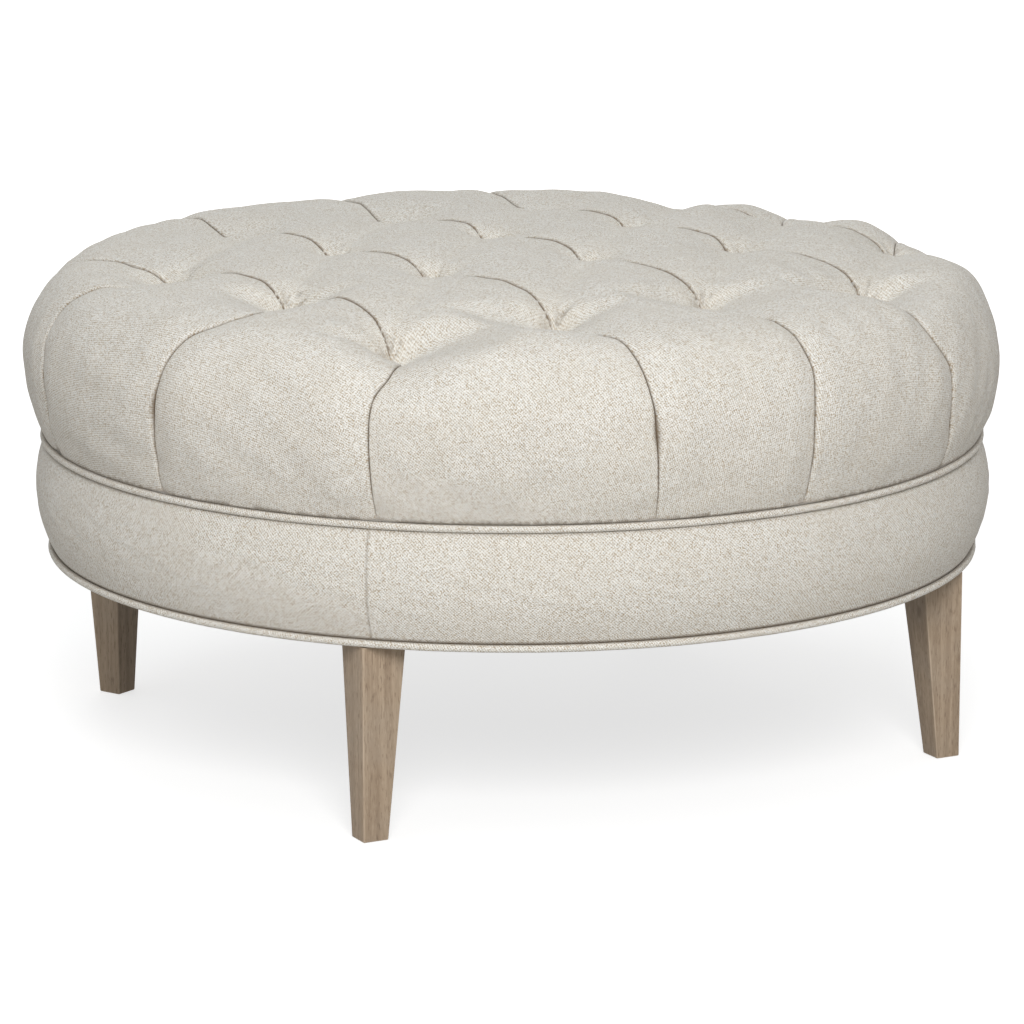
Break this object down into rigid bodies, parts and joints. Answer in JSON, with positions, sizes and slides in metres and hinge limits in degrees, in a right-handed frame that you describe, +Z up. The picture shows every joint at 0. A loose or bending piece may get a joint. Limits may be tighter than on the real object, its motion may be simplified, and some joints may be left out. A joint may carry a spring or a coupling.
{
  "type": "round ottoman",
  "caption": "Round ottoman with a deep diamond-tufted and pleated top, a welted fabric apron and square tapered wooden legs.",
  "frame": {"origin": "centre of the bounding box's bottom face: on the floor under the middle of the round body", "axes": "+Z up; the four legs stand on a square whose sides run along X and Y, and the legs named front are towards -Y"},
  "size_m": [0.9649, 0.9649, 0.4941],
  "materials": {
    "leg_wood": "weathered taupe stain, fine straight grain, matt",
    "cover_fabric": "cream linen-look tweed with beige and grey flecks",
    "dust_cloth": "black non-woven cambric",
    "frame_wood": "raw birch plywood",
    "zinc_steel": "zinc plated",
    "foam": "open cell foam",
    "fibre": "white polyester fibre",
    "twine": "waxed flax twine",
    "cord_fill": "twisted paper and cotton cord",
    "card": "grey-brown card"
  },
  "bodies": {
    "root": {"leg_front_left": "leg_wood", "leg_front_right": "leg_wood", "leg_back_right": "leg_wood", "leg_back_left": "leg_wood", "tufted_cover": "cover_fabric", "apron_band": "cover_fabric", "middle_welt": "cover_fabric", "bottom_welt": "cover_fabric", "dust_cover": "dust_cloth", "bottom_ring": "frame_wood", "upper_ring": "frame_wood", "deck_board": "frame_wood", "frame_wall": "frame_wood", "frame_posts": "frame_wood", "leg_blocks": "frame_wood", "hanger_bolts": "zinc_steel", "tee_nuts": "zinc_steel", "post_screws": "zinc_steel", "deck_screws": "zinc_steel", "cover_staples": "zinc_steel", "welt_staples": "zinc_steel", "tack_strip_staples": "zinc_steel", "apron_staples": "zinc_steel", "dust_cover_staples": "zinc_steel", "twine_staples": "zinc_steel", "foam_core": "foam", "fibre_wrap": "fibre", "apron_padding": "fibre", "tuft_twine": "twine", "middle_welt_cord": "cord_fill", "bottom_welt_cord": "cord_fill", "tack_strip": "card"}
  },
  "joints": []
}
